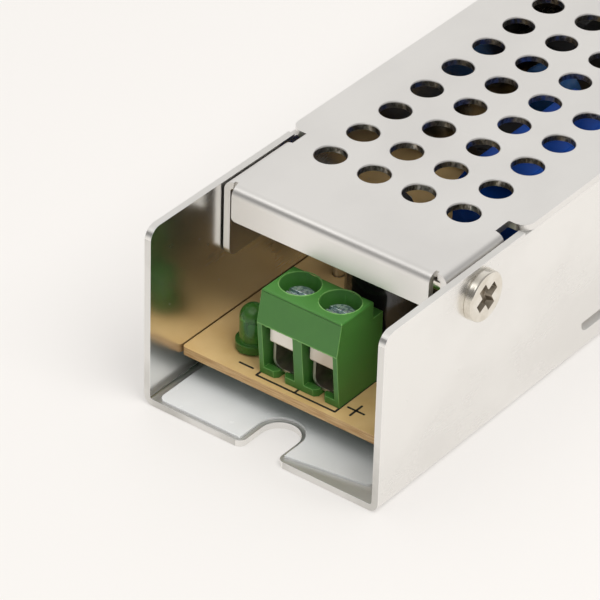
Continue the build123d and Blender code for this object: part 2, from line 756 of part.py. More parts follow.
def build():
    """Returns every piece by its name."""
    pieces = {"base_channel": base_channel(), "cover": cover(), "insulating_sheet": insulating_sheet()}
    for name, screw in zip(("output_right", "mains_left"), cover_screws()):
        pieces["cover_screw_" + name] = screw

    drillings = []

    def mount(name, shape, x, distance, places=(), radius=small_lead_radius):
        """Stands a part on the board at a distance from the output end and drills the board for its leads."""
        pieces[name] = Pos(x, along(distance), board_top) * shape
        drillings.extend((x + px, along(distance) + py, radius) for px, py in places)

    turn = Rotation(0, 0, 180)
    for end, distance, facing in (("output", terminal_setback, Rotation(0, 0, 0)),
                                  ("mains", mains_terminal_y, turn)):
        mount(end + "_terminal_housing", facing * terminal_housing(), 0, distance)
        for pole, x in enumerate(in_line(poles, pole_pitch), start=1):
            mount(f"{end}_contact_{pole}", facing * terminal_contact(), x, distance, [(0, 0)],
                  terminal_pin_radius)
            mount(f"{end}_wire_guard_{pole}", facing * wire_guard(), x, distance)
            mount(f"{end}_clamp_screw_{pole}", facing * clamp_screw(), x, distance)

    mount("indicator", indicator(), indicator_x, indicator_setback, two_leads(indicator_pitch))
    mount("output_capacitor", capacitor_can(output_can_radius, output_can_height, output_can_pitch),
          output_can_x, can_one_y, two_leads(output_can_pitch))
    mount("filter_capacitor", capacitor_can(filter_can_radius, filter_can_height, filter_can_pitch),
          filter_can_x, can_two_y, two_leads(filter_can_pitch))
    mount("output_diode", output_diode(), diode_x, diode_y,
          [(0, y) for y in in_line(2, diode_lead_pitch)], diode_lead_radius)
    optocoupler = moulded_package(optocoupler_length, optocoupler_pins).rotate(Axis.Z, 90)
    mount("optocoupler", optocoupler, optocoupler_x, can_two_y,
          [(y, x) for x, y in package_leads(optocoupler_pins)])
    mount("controller_chip", moulded_package(controller_length, controller_pins), controller_x, controller_y,
          package_leads(controller_pins))
    mount("safety_capacitor", dipped_disc(safety_disc_radius, safety_disc_thickness, safety_disc_pitch),
          safety_disc_x, safety_disc_y, two_leads(safety_disc_pitch))

    mount("transformer_core_front", ferrite_half(), transformer_x, transformer_y)
    mount("transformer_core_rear", turn * ferrite_half(), transformer_x, transformer_y)
    mount("transformer_core_tape", core_tape(), transformer_x, transformer_y)
    mount("transformer_bobbin", transformer_bobbin(), transformer_x, transformer_y, bobbin_pin_places(),
          bobbin_pin_radius)
    mount("transformer_winding", transformer_winding(), transformer_x, transformer_y)

    mount("mains_capacitor", capacitor_can(mains_can_radius, mains_can_height, mains_can_pitch),
          mains_can_x, mains_can_y, two_leads(mains_can_pitch))
    mount("bridge_rectifier", bridge_rectifier(), bridge_x, bridge_y, bridge_lead_places(), bridge_pin_radius)
    mount("choke_core", choke_core(), choke_x, choke_y, two_leads(choke_pitch))
    mount("choke_winding", choke_winding(), choke_x, choke_y)
    mount("film_capacitor", film_capacitor(), film_box_x, film_box_y, film_lead_places())
    mount("fuse", fuse(), fuse_x, fuse_y, two_leads(fuse_pitch))
    thermistor = dipped_disc(thermistor_radius, thermistor_thickness, thermistor_pitch).rotate(Axis.Z, 90)
    mount("thermistor", thermistor, thermistor_x, thermistor_y,
          [(0, y) for y in in_line(2, thermistor_pitch)])

    pieces["circuit_board"] = circuit_board(drillings)
    return pieces


os.makedirs("parts", exist_ok=True)
print("case length", round(case_length, 3))
for name, piece in build().items():
    export_step(piece, f"parts/{name}.step")
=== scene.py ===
import math

import bmesh
import bpy
import numpy as np
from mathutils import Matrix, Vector


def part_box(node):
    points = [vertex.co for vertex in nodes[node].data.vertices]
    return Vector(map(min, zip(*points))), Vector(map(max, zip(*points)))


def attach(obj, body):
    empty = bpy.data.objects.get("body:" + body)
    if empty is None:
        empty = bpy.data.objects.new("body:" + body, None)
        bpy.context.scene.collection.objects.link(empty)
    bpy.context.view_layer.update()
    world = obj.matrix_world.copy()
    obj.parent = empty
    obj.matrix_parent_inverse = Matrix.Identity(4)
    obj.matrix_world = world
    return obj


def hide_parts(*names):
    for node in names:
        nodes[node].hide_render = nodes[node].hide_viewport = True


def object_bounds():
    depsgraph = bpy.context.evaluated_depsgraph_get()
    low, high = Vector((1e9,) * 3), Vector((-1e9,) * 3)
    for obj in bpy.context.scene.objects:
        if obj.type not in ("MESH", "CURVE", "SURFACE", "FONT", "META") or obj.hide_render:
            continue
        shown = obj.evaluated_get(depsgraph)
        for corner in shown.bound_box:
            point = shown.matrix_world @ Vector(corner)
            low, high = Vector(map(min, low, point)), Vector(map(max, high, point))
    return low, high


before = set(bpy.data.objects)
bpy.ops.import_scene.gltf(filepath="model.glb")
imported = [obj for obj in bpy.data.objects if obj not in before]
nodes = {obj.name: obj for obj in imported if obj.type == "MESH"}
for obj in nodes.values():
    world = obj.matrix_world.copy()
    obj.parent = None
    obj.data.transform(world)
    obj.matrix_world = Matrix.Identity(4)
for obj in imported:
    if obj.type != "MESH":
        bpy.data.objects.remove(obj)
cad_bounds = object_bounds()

# The channel: one aluminium sheet, folded to a floor and two walls, with an open screw slot punched in each
# end of the floor and four ledges pressed in from the walls. The rolled sheet is faintly lined along its
# length, and its cut edges are slightly rounded, with a paler colour on the rounding that is a painted
# highlight.

MM = 0.001
FLAT_AREA = 12 * MM ** 2


def put(tree, kind, inputs=None, **settings):
    """Adds a node to a tree, with its settings, and fills its inputs with values or other nodes' sockets."""
    made = tree.nodes.new("ShaderNode" + kind)
    for key, value in settings.items():
        setattr(made, key, value)
    for key, value in (inputs or {}).items():
        if isinstance(value, bpy.types.NodeSocket):
            tree.links.new(value, made.inputs[key])
        else:
            made.inputs[key].default_value = value
    return made


def effect(name, inputs, outputs):
    """An empty node group: inputs are (title, value), all floats, and outputs are (title, socket kind)."""
    group = bpy.data.node_groups.new(name, "ShaderNodeTree")
    for title, value in inputs:
        socket = group.interface.new_socket(title, in_out="INPUT", socket_type="NodeSocketFloat")
        socket.default_value = value
    for title, kind in outputs:
        group.interface.new_socket(title, in_out="OUTPUT", socket_type="NodeSocket" + kind)
    return group, group.nodes.new("NodeGroupInput"), group.nodes.new("NodeGroupOutput")


def placed_effect(tree, group, inputs=None):
    """Places a node group in a material's tree with its own values."""
    made = put(tree, "Group", node_tree=group)
    for key, value in (inputs or {}).items():
        made.inputs[key].default_value = value
    return made


def finish(name, colour, roughness, metallic=0.0, **more):
    """A material whose shader holds plain values; it is returned with its tree and its shader."""
    material = bpy.data.materials.new(name)
    material.use_nodes = True
    shader = material.node_tree.nodes["Principled BSDF"]
    values = {"Base Color": (*colour, 1), "Roughness": roughness, "Metallic": metallic}
    values.update({key.replace("_", " "): value for key, value in more.items()})
    for key, value in values.items():
        shader.inputs[key].default_value = value
    return material, material.node_tree, shader


def speckle(tree, point, scale, detail=3.0, stretch=(1, 1, 1)):
    """Noise of so many grains a metre, drawn out along the axes by stretch, as a value from 0 to 1."""
    spread = put(tree, "VectorMath", {0: point, 1: tuple(scale * s for s in stretch)}, operation="MULTIPLY")
    return put(tree, "TexNoise", {"Vector": spread.outputs[0], "Scale": 1.0, "Detail": detail}).outputs["Fac"]


def ranged(tree, value, low, high, start=0.0, end=1.0):
    """A value taken from the range low to high to the range start to end, held at its ends."""
    fitted = put(tree, "MapRange", {"Value": value, "From Min": low, "From Max": high, "To Min": start,
                                    "To Max": end})
    return fitted.outputs["Result"]


def product(tree, first, second):
    """The product of two values."""
    return put(tree, "Math", {0: first, 1: second}, operation="MULTIPLY").outputs[0]


def added(tree, value, share, base):
    """A value times a share, added to a base."""
    return put(tree, "Math", {0: value, 1: share, 2: base}, operation="MULTIPLY_ADD").outputs[0]


def larger(tree, first, second):
    """The larger of two values."""
    return put(tree, "Math", {0: first, 1: second}, operation="MAXIMUM").outputs[0]


def blended(tree, share, first, second):
    """A colour that goes from the first to the second as the share goes from 0 to 1."""
    mix = put(tree, "Mix", {"Factor": share}, data_type="RGBA")
    sockets = [s for s in mix.inputs if s.type == "RGBA"]
    for socket, colour in zip(sockets, (first, second)):
        if isinstance(colour, bpy.types.NodeSocket):
            tree.links.new(colour, socket)
        else:
            socket.default_value = (*colour, 1)
    return [s for s in mix.outputs if s.type == "RGBA"][0]


def raised(tree, shader, height, distance):
    """Feeds a height to the shader's normal through a bump node; distance is in metres."""
    bump = put(tree, "Bump", {"Height": height, "Distance": distance})
    tree.links.new(bump.outputs["Normal"], shader.inputs["Normal"])


sheet_grain, given, result = effect(
    "sheet_grain", [("Line Depth", 0.5), ("Smudge", 0.5), ("Base Roughness", 0.3)],
    [("Roughness", "Float"), ("Height", "Float"), ("Smudge Mask", "Float")])
point = put(sheet_grain, "TexCoord").outputs["Object"]
lines = speckle(sheet_grain, point, 16000, 1.0, (1, 0.01, 1))
scratches = ranged(sheet_grain, speckle(sheet_grain, point, 2600, 3.0, (1, 0.05, 1)), 0.66, 0.76)
smudge = ranged(sheet_grain, speckle(sheet_grain, point, 90, 5.0, (1, 0.7, 1)), 0.42, 0.66)
speck = ranged(sheet_grain, speckle(sheet_grain, point, 1500, 3.0), 0.72, 0.78)
lifted = product(sheet_grain, lines, given.outputs["Line Depth"])
marked = product(sheet_grain, smudge, given.outputs["Smudge"])
rough = added(sheet_grain, lifted, 0.08, given.outputs["Base Roughness"])
rough = added(sheet_grain, marked, 0.12, rough)
rough = added(sheet_grain, speck, 0.10, rough)
sheet_grain.links.new(rough, result.inputs["Roughness"])
sheet_grain.links.new(added(sheet_grain, scratches, -0.25, lifted), result.inputs["Height"])
sheet_grain.links.new(marked, result.inputs["Smudge Mask"])


def sheet_metal(name, clean, smudged, roughness, line_depth, smudge_share, scuffed=0.0):
    """Rolled sheet: the grain group sets its roughness and lines, and its smudges tint it.

    scuffed is what is added to the roughness of faces that look up.
    """
    material, tree, shader = finish(name, clean, roughness, 1.0)
    grain = placed_effect(tree, sheet_grain, {"Line Depth": line_depth, "Smudge": smudge_share,
                                              "Base Roughness": roughness})
    upward = put(tree, "SeparateXYZ", {0: put(tree, "TexCoord").outputs["Normal"]}).outputs["Z"]
    dull = ranged(tree, upward, 0.6, 0.95, 0.0, scuffed)
    rough = put(tree, "Math", {0: grain.outputs["Roughness"], 1: dull}, operation="ADD").outputs[0]
    tree.links.new(rough, shader.inputs["Roughness"])
    tree.links.new(blended(tree, grain.outputs["Smudge Mask"], clean, smudged), shader.inputs["Base Color"])
    raised(tree, shader, grain.outputs["Height"], 0.0025 * MM)
    return material


def fine_copy(node, name, body, material, edge, angle=30, rim=None, other=None, is_other=None,
              worn_by=0.0, is_worn=None):
    """A copy of a CAD node's mesh, its doubles merged, its flat runs joined and its sharp edges rounded.

    rim is a material for the rounded edges alone, and other is one for the faces whose centres, in
    millimetres, pass the test is_other. Square edges whose ends pass the test is_worn are first rounded by
    worn_by. Faces past FLAT_AREA are shaded flat, and the rest smooth, weighted by their areas.
    """
    mesh = nodes[node].data.copy()
    mesh.name = name
    made = bmesh.new()
    made.from_mesh(mesh)
    bmesh.ops.remove_doubles(made, verts=made.verts, dist=0.0005 * MM)
    bmesh.ops.dissolve_limit(made, angle_limit=math.radians(0.5), verts=made.verts, edges=made.edges)
    if is_worn:
        worn = [side for side in made.edges
                if side.calc_face_angle(0) > 1 and all(is_worn(*(end.co / MM)) for end in side.verts)]
        bmesh.ops.bevel(made, geom=worn, offset=worn_by, segments=4, profile=0.5, affect="EDGES",
                        clamp_overlap=False)
    made.to_mesh(mesh)
    made.free()
    mesh.shade_smooth()
    mesh.set_sharp_from_angle(angle=math.radians(angle))
    areas = np.empty(len(mesh.polygons))
    mesh.polygons.foreach_get("area", areas)
    mesh.polygons.foreach_set("use_smooth", areas < FLAT_AREA)
    mesh.materials.clear()
    mesh.materials.append(material)
    mesh.polygons.foreach_set("material_index", np.zeros(len(mesh.polygons), int))
    if other:
        centres = np.empty(3 * len(mesh.polygons))
        mesh.polygons.foreach_get("center", centres)
        x, y, z = (centres.reshape(-1, 3) / MM).T
        mesh.materials.append(other)
        mesh.polygons.foreach_set("material_index", is_other(x, y, z).astype(int))
    piece = bpy.data.objects.new(name, mesh)
    bpy.context.scene.collection.objects.link(piece)
    bevel = piece.modifiers.new("rounded_edges", "BEVEL")
    bevel.width = edge
    bevel.segments = 2
    bevel.limit_method = "ANGLE"
    bevel.angle_limit = math.radians(angle)
    weighted = piece.modifiers.new("flat_faces_stay_flat", "WEIGHTED_NORMAL")
    weighted.keep_sharp = True
    if rim:
        mesh.materials.append(rim)
        bevel.material = len(mesh.materials) - 1
    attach(piece, body)
    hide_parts(node)
    return piece


case_sheet = sheet_metal("case_sheet", (0.90, 0.89, 0.865), (0.80, 0.785, 0.76), 0.20, 0.6, 0.6, 0.3)
# The paler sheet for the rounded edges alone is a painted highlight along them.
rim_painted_highlight = sheet_metal("rim_painted_highlight", (0.95, 0.945, 0.93), (0.86, 0.85, 0.83), 0.26, 0.9, 0.6)
cut_face = sheet_metal("cut_face", (0.78, 0.77, 0.745), (0.54, 0.53, 0.50), 0.34, 1.0, 1.0)
END_FACE = cad_bounds[1][1] / MM - 0.02
fine_copy("base_channel", "folded_channel", "supply", case_sheet, 0.09 * MM, rim=rim_painted_highlight,
          other=cut_face, is_other=lambda x, y, z: np.abs(y) > END_FACE)

# The film: a sheet of white plastic that lies on the floor under the board, cut by hand round the slots, and
# keeps the solder side off the metal. It is smooth and faintly cloudy, with small scuffs.

film, tree, shader = finish("white_film", (0.82, 0.84, 0.85), 0.2)
point = put(tree, "TexCoord").outputs["Object"]
cloud = ranged(tree, speckle(tree, point, 150, 4.0), 0.35, 0.7)
tree.links.new(blended(tree, cloud, (0.84, 0.855, 0.86), (0.78, 0.80, 0.80)), shader.inputs["Base Color"])
tree.links.new(ranged(tree, speckle(tree, point, 900, 4.0), 0.3, 0.7, 0.14, 0.28), shader.inputs["Roughness"])
raised(tree, shader, speckle(tree, point, 200, 2.0), 0.02 * MM)
fine_copy("insulating_sheet", "cut_film", "supply", film, 0.04 * MM)

# The board: tan paper laminate, routed to size and drilled, on the channel's ledges. Its cut edges show the
# paper's layers, its underside has a green mask, and black printing on top marks the output terminal's place
# and its plus and minus poles.

board, tree, shader = finish("board_laminate", (0.74, 0.52, 0.26), 0.45)
point = put(tree, "TexCoord")
weave = speckle(tree, point.outputs["Object"], 3500, 3.0, (1, 0.25, 1))
mottle = ranged(tree, speckle(tree, point.outputs["Object"], 260, 4.0), 0.35, 0.7)
top_colour = blended(tree, mottle, (0.82, 0.575, 0.265), (0.74, 0.49, 0.205))
layers = speckle(tree, point.outputs["Object"], 7000, 2.0, (0.06, 0.06, 1))
side_colour = blended(tree, ranged(tree, layers, 0.38, 0.66), (0.71, 0.48, 0.225), (0.52, 0.29, 0.11))
mask_colour = blended(tree, mottle, (0.03, 0.10, 0.055), (0.02, 0.075, 0.04))
facing = put(tree, "SeparateXYZ", {0: point.outputs["Normal"]}).outputs["Z"]
upper = blended(tree, ranged(tree, facing, 0.4, 0.6), side_colour, top_colour)
whole = blended(tree, ranged(tree, facing, -0.6, -0.4), mask_colour, upper)
tree.links.new(whole, shader.inputs["Base Color"])
tree.links.new(ranged(tree, weave, 0.3, 0.7, 0.38, 0.55), shader.inputs["Roughness"])
raised(tree, shader, weave, 0.01 * MM)
fine_copy("circuit_board", "drilled_board", "supply", board, 0.05 * MM)

PRINT_THICKNESS = 0.02
low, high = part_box("circuit_board")
board_top = high.z / MM
board_underside = low.z / MM
output_end = cad_bounds[0][1] / MM


def new_piece(name, points, faces, body, slot, material, replaced=(), angle=35):
    """A piece from its points in millimetres and its faces; edges that turn past the angle stay sharp."""
    mesh = bpy.data.meshes.new(name)
    mesh.from_pydata((np.asarray(points) * MM).tolist(), [], faces)
    mesh.validate()
    mesh.shade_smooth()
    mesh.set_sharp_from_angle(angle=math.radians(angle))
    mesh.materials.append(material)
    piece = bpy.data.objects.new(name, mesh)
    bpy.context.scene.collection.objects.link(piece)
    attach(piece, body)
    if replaced:
        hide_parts(*replaced)
    return piece


def joined(parts):
    """Several (points, faces) as one, the faces' numbers moved on past the points before them."""
    points, faces, count = [], [], 0
    for some, those in parts:
        points.append(some)
        faces += [[i + count for i in face] for face in those]
        count += len(some)
    return np.concatenate(points), faces


def circle(radius, sides):
    """Points evenly round a circle, anticlockwise."""
    turn = np.arange(sides) * 2 * np.pi / sides
    return radius * np.column_stack([np.cos(turn), np.sin(turn)])


def rounded_box_outline(width, length, corner, sides=3):
    """A rectangle with quarter circle corners, anticlockwise: each corner's arc about its own centre."""
    turn = np.linspace(0, np.pi / 2, sides + 1)
    quarters = []
    for i, (sx, sy) in enumerate(((1, 1), (-1, 1), (-1, -1), (1, -1))):
        arc = turn + i * np.pi / 2
        centre = np.array([sx * (width / 2 - corner), sy * (length / 2 - corner)])
        quarters.append(centre + corner * np.column_stack([np.cos(arc), np.sin(arc)]))
    return np.concatenate(quarters)


def ring_faces(levels, count, closed=False):
    """Quads between rings of points that follow one another; closed joins the last ring to the first."""
    ring = np.arange(levels if closed else levels - 1)[:, None] * count
    after = np.roll(np.arange(levels), -1)[:len(ring), None] * count
    here, beside = np.arange(count), (np.arange(count) + 1) % count
    corners = [ring + here, ring + beside, after + beside, after + here]
    return np.stack(corners, axis=-1).reshape(-1, 4).tolist()


def capped(rings):
    """Rings of points, given as levels by count by 3, as one closed skin with a flat cap at each end."""
    levels, count = rings.shape[:2]
    last = (levels - 1) * count
    caps = [list(range(count))[::-1], [last + i for i in range(count)]]
    return rings.reshape(-1, 3), ring_faces(levels, count) + caps


def carried(outline, profile):
    """A closed outline carried along a profile of (offset, height) rows, capped at both ends.

    Each row is the outline moved out along its own corner normals by the offset, at that height. The normal
    at a corner is the sum of its two sides' normals over one plus their dot product, so that sides keep their
    distance.
    """
    outline = np.asarray(outline, float)
    side = np.roll(outline, -1, axis=0) - outline
    side /= np.linalg.norm(side, axis=1, keepdims=True)
    normal = np.column_stack([side[:, 1], -side[:, 0]])
    before = np.roll(normal, 1, axis=0)
    corner = (normal + before) / (1 + np.sum(normal * before, axis=1, keepdims=True))
    rows = np.array(profile, float)
    rings = np.empty((len(rows), len(outline), 3))
    rings[:, :, :2] = outline + rows[:, 0, None, None] * corner
    rings[:, :, 2] = rows[:, 1, None]
    return capped(rings)


def moved(part, place, turn=None):
    """A (points, faces) turned by a 3 by 3 matrix, if one is given, and then moved to a place."""
    points, faces = part
    points = points if turn is None else points @ np.asarray(turn, float).T
    return points + np.asarray(place, float), faces


def printed_line(start, end, width):
    """A printed line with round ends between two places on the board: a stadium outline, one print thick."""
    start, end = np.array(start, float), np.array(end, float)
    along = math.atan2(end[1] - start[1], end[0] - start[0])
    turn = along + np.linspace(-np.pi / 2, np.pi / 2, 9)
    half = np.column_stack([np.cos(turn), np.sin(turn)]) * width / 2
    ring = np.concatenate([half + end, start - half])
    return moved(carried(ring, [(0, 0), (0, PRINT_THICKNESS)]), (0, 0, board_top))


PRINT_WIDTH = 0.25
FRAME_LEFT, FRAME_RIGHT = -5.0, 5.05
FRAME_FRONT, FRAME_BACK = output_end + 5.9, output_end + 13.7
corners = [(FRAME_LEFT, FRAME_FRONT), (FRAME_RIGHT, FRAME_FRONT), (FRAME_RIGHT, FRAME_BACK),
           (FRAME_LEFT, FRAME_BACK)]
lines = [printed_line(corners[i], corners[(i + 1) % 4], PRINT_WIDTH) for i in range(4)]
TICK_X, TICK = -0.1, 0.85
lines.append(printed_line((TICK_X, FRAME_FRONT), (TICK_X, FRAME_FRONT + TICK), PRINT_WIDTH))
PLUS_X, PLUS_Y, ARM = 6.6, output_end + 7.4, 1.0
lines.append(printed_line((PLUS_X - ARM, PLUS_Y), (PLUS_X + ARM, PLUS_Y), PRINT_WIDTH))
lines.append(printed_line((PLUS_X, PLUS_Y - ARM), (PLUS_X, PLUS_Y + ARM), PRINT_WIDTH))
MINUS_LEFT, MINUS_RIGHT, MINUS_Y = -7.7, -6.0, output_end + 6.6
lines.append(printed_line((MINUS_LEFT, MINUS_Y), (MINUS_RIGHT, MINUS_Y), PRINT_WIDTH))
ink, tree, shader = finish("printing_ink", (0.02, 0.02, 0.02), 0.55)
point = put(tree, "TexCoord").outputs["Object"]
tree.links.new(blended(tree, ranged(tree, speckle(tree, point, 6000), 0.55, 0.75), (0.015, 0.015, 0.015),
                       (0.09, 0.07, 0.05)), shader.inputs["Base Color"])
new_piece("board_print", *joined(lines), "supply", "package_black", ink)

# The screw terminals: a green polyamide moulding at each end of the board, with a screwdriver well and a wire
# window for each pole. Its edges are softly rounded, and the rounding and the flash are a paler green:
# painted light that stands in for light coming through the thin plastic.

moulded_skin, given, result = effect("moulded_skin", [("Grain", 7000.0)],
                                     [("Height", "Float"), ("Haze", "Float")])
point = put(moulded_skin, "TexCoord").outputs["Object"]
spread = put(moulded_skin, "VectorMath", {0: point, "Scale": given.outputs["Grain"]}, operation="SCALE")
pits = put(moulded_skin, "TexNoise", {"Vector": spread.outputs[0], "Scale": 1.0, "Detail": 2.0})
haze = ranged(moulded_skin, speckle(moulded_skin, point, 420, 4.0), 0.35, 0.72)
moulded_skin.links.new(pits.outputs["Fac"], result.inputs["Height"])
moulded_skin.links.new(haze, result.inputs["Haze"])


def moulded(name, colour, hazed, roughness, relief, grain=7000.0, **more):
    """Moulded plastic: fine pits in its skin, and a slow haze that shifts its colour and gloss."""
    material, tree, shader = finish(name, colour, roughness, **more)
    skin = placed_effect(tree, moulded_skin, {"Grain": grain})
    tree.links.new(blended(tree, skin.outputs["Haze"], colour, hazed), shader.inputs["Base Color"])
    tree.links.new(ranged(tree, skin.outputs["Haze"], 0, 1, roughness * 0.9, roughness * 1.25),
                   shader.inputs["Roughness"])
    raised(tree, shader, skin.outputs["Height"], relief)
    return material


terminal_green = moulded("terminal_green", (0.060, 0.214, 0.036), (0.072, 0.240, 0.044), 0.42, 0.006 * MM,
                         Subsurface_Weight=0.2, Subsurface_Scale=0.5 * MM,
                         Subsurface_Radius=(0.4, 1.0, 0.3))
# The paler green, for the rounded edges and the flash, is painted light: it stands in for light coming
# through the thin plastic.
painted_light_green = moulded("terminal_edge_painted_light", (0.14, 0.36, 0.08), (0.24, 0.48, 0.15), 0.32, 0.006 * MM)
for end in ("output", "mains"):
    fine_copy(end + "_terminal_housing", end + "_terminal_moulding", "supply",
              terminal_green, 0.09 * MM, 50, rim=painted_light_green)

WELL_RADIUS, WELL_TOP, POLE_X, SCREW_LINE = 2.175, 15.1, 2.54, 9.67
NOSE_SETBACK, NOSE_Z, NOSE_HALF = 3.8, 11.4, 5.02
RING_STEPS, STRIP_STEPS = 120, 90
FLASH_WIDTH, FLASH_LIFT, FLASH_HANG = (0.05, 0.12), (0.02, 0.07), (0.05, 0.16)


def ragged(turn, seed):
    """An uneven height from 0 to 1 round a closed line: a few sine waves of unrelated counts, seeded."""
    draw = np.random.default_rng(seed)
    counts = draw.integers(3, 40, 9)
    waves = np.sin(counts[:, None] * turn + draw.uniform(0, 2 * np.pi, 9)[:, None])
    return np.clip(0.5 + 0.28 * waves.sum(axis=0) / 3, 0.05, 1)


def wavering(pair, turn, seed):
    """A size that is uneven round a line: the pair's first value plus its second times a ragged height."""
    return pair[0] + pair[1] * ragged(turn, seed)


def flash_ring(x, y, seed):
    """Thin flash round a well's mouth: a three-cornered section whose width and height are ragged."""
    turn = np.arange(RING_STEPS) * 2 * np.pi / RING_STEPS
    width = wavering(FLASH_WIDTH, turn, seed)
    lift = wavering(FLASH_LIFT, turn, seed + 1)
    flat = np.column_stack([np.cos(turn), np.sin(turn)])
    rings = [np.column_stack([flat * (WELL_RADIUS - 0.02), np.full(RING_STEPS, -0.06)]),
             np.column_stack([flat * (WELL_RADIUS + width)[:, None], np.full(RING_STEPS, -0.01)]),
             np.column_stack([flat * (WELL_RADIUS + 0.02), lift])]
    points = np.concatenate(rings) + (x, y, WELL_TOP)
    return points, ring_faces(len(rings), RING_STEPS, closed=True)


def flash_strip(y, way, seed):
    """Flash along the nose's lower edge: a thin three-sided strip whose free edge is ragged."""
    x = np.linspace(-NOSE_HALF, NOSE_HALF, STRIP_STEPS)
    hang = wavering(FLASH_HANG, np.linspace(0, 2 * np.pi, STRIP_STEPS), seed)
    same = np.ones(STRIP_STEPS)
    rings = np.stack([np.column_stack([x, same * (y + way * 0.05), same * (NOSE_Z + 0.09)]),
                      np.column_stack([x, same * (y - way * 0.03), NOSE_Z - hang]),
                      np.column_stack([x, same * (y + way * 0.10), same * (NOSE_Z - 0.01)])], axis=1)
    return capped(rings if way > 0 else rings[:, ::-1])


# The flash is drawn in the paler green, painted light through thin plastic.
for seed, (end, way) in enumerate((("output", 1), ("mains", -1))):
    line = way * (output_end + SCREW_LINE)
    parts = [flash_ring(-POLE_X, line, 11 + seed), flash_ring(POLE_X, line, 31 + seed),
             flash_strip(line - way * NOSE_SETBACK, way, 51 + seed)]
    new_piece(end + "_terminal_flash", *joined(parts), "supply", "terminal_green", painted_light_green)

# The contacts and wire guards: tinned strip, stamped and folded, dull and slightly yellow, with lines along
# it. Each contact is a cage with a tapped top and a solder pin, and its guard is a bent leaf inside it.

strip_metal = sheet_metal("contact_tinned", (0.79, 0.75, 0.685), (0.54, 0.47, 0.38), 0.24, 3.0, 1.0)
# The paler strip colour, for the rounded edges alone, is a painted highlight along them.
strip_painted_highlight = sheet_metal("strip_painted_highlight", (0.94, 0.92, 0.88), (0.84, 0.80, 0.74), 0.22, 1.0, 0.6)
for end in ("output", "mains"):
    for pole in "12":
        fine_copy(f"{end}_contact_{pole}", f"{end}_cage_{pole}", "supply", strip_metal,
                  0.06 * MM, rim=strip_painted_highlight)
        fine_copy(f"{end}_wire_guard_{pole}", f"{end}_guard_leaf_{pole}", f"{end}_guard_{pole}",
                  strip_metal, 0.05 * MM, rim=strip_painted_highlight)

# The clamp screws: turned steel with a slot across the head, zinc plated, bluish and clouded, one in the
# thread of each cage's top.

metal_wear, given, result = effect(
    "metal_wear", [("Cloud Scale", 700.0), ("Cloud Detail", 4.0), ("Cloud Low", 0.35), ("Cloud High", 0.7),
                   ("Gloss Scale", 2500.0), ("Pit Scale", 2200.0), ("Pit Detail", 2.0), ("Pit Stretch", 1.0)],
    [("Cloud", "Float"), ("Gloss", "Float"), ("Pits", "Float")])
point = put(metal_wear, "TexCoord").outputs["Object"]


def grown(scale, detail, stretch=None):
    """Noise in the wear group with its scale and detail from the group's inputs, drawn out along Y."""
    along = product(metal_wear, scale, stretch) if stretch else scale
    spread = put(metal_wear, "CombineXYZ", {"X": scale, "Y": along, "Z": scale}).outputs[0]
    place = put(metal_wear, "VectorMath", {0: point, 1: spread}, operation="MULTIPLY").outputs[0]
    return put(metal_wear, "TexNoise", {"Vector": place, "Scale": 1.0, "Detail": detail}).outputs["Fac"]


cloud = grown(given.outputs["Cloud Scale"], given.outputs["Cloud Detail"])
cloud = ranged(metal_wear, cloud, given.outputs["Cloud Low"], given.outputs["Cloud High"])
gloss = ranged(metal_wear, grown(given.outputs["Gloss Scale"], 3.0), 0.3, 0.7)
pits = grown(given.outputs["Pit Scale"], given.outputs["Pit Detail"], given.outputs["Pit Stretch"])
for value, title in ((cloud, "Cloud"), (gloss, "Gloss"), (pits, "Pits")):
    metal_wear.links.new(value, result.inputs[title])


def worn_metal(name, bright, clouded, smooth, dull, relief, metallic=1.0, wear=None, **more):
    """Small metal parts: the wear group's clouds tint them, its gloss sets how smooth they are.

    The gloss goes from smooth to dull, and the group's pits are raised by relief.
    """
    material, tree, shader = finish(name, bright, smooth, metallic, **more)
    marks = placed_effect(tree, metal_wear, wear)
    tree.links.new(blended(tree, marks.outputs["Cloud"], bright, clouded), shader.inputs["Base Color"])
    tree.links.new(ranged(tree, marks.outputs["Gloss"], 0, 1, smooth, dull), shader.inputs["Roughness"])
    raised(tree, shader, marks.outputs["Pits"], relief)
    return material


zinc = worn_metal("screw_zinc", (0.86, 0.96, 0.98), (0.30, 0.42, 0.46), 0.12, 0.26, 0.12 * MM, 0.75,
                  {"Cloud Scale": 2600, "Cloud Detail": 3, "Cloud Low": 0.42, "Cloud High": 0.6,
                   "Gloss Scale": 3000, "Pit Detail": 1, "Pit Stretch": 0.4})
for end in ("output", "mains"):
    for pole in "12":
        fine_copy(f"{end}_clamp_screw_{pole}", f"{end}_turned_screw_{pole}", f"{end}_screw_{pole}",
                  zinc, 0.05 * MM)

# The indicator: a 3 mm lamp of green diffusing resin with a flanged foot, cast round its two tinned posts,
# which show dimly through it and are soldered under the board at the output end.

indicator_green = moulded("indicator_green", (0.045, 0.24, 0.045), (0.13, 0.34, 0.05), 0.12, 0.03 * MM, 350.0,
                          Transmission_Weight=0.55, IOR=1.45, Subsurface_Weight=0.15,
                          Subsurface_Scale=0.8 * MM, Subsurface_Radius=(0.3, 1.0, 0.2))
tinned = sheet_metal("tinned_wire", (0.78, 0.77, 0.74), (0.62, 0.60, 0.56), 0.30, 0.5, 0.8)


def under_board(x, y, z):
    """Faces of the wires below a part that stands on the board."""
    return z < board_top - 0.05


def middle(node):
    """The middle of a node's box and its sizes, in millimetres."""
    low, high = (np.array(corner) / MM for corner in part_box(node))
    return (low + high) / 2, high - low


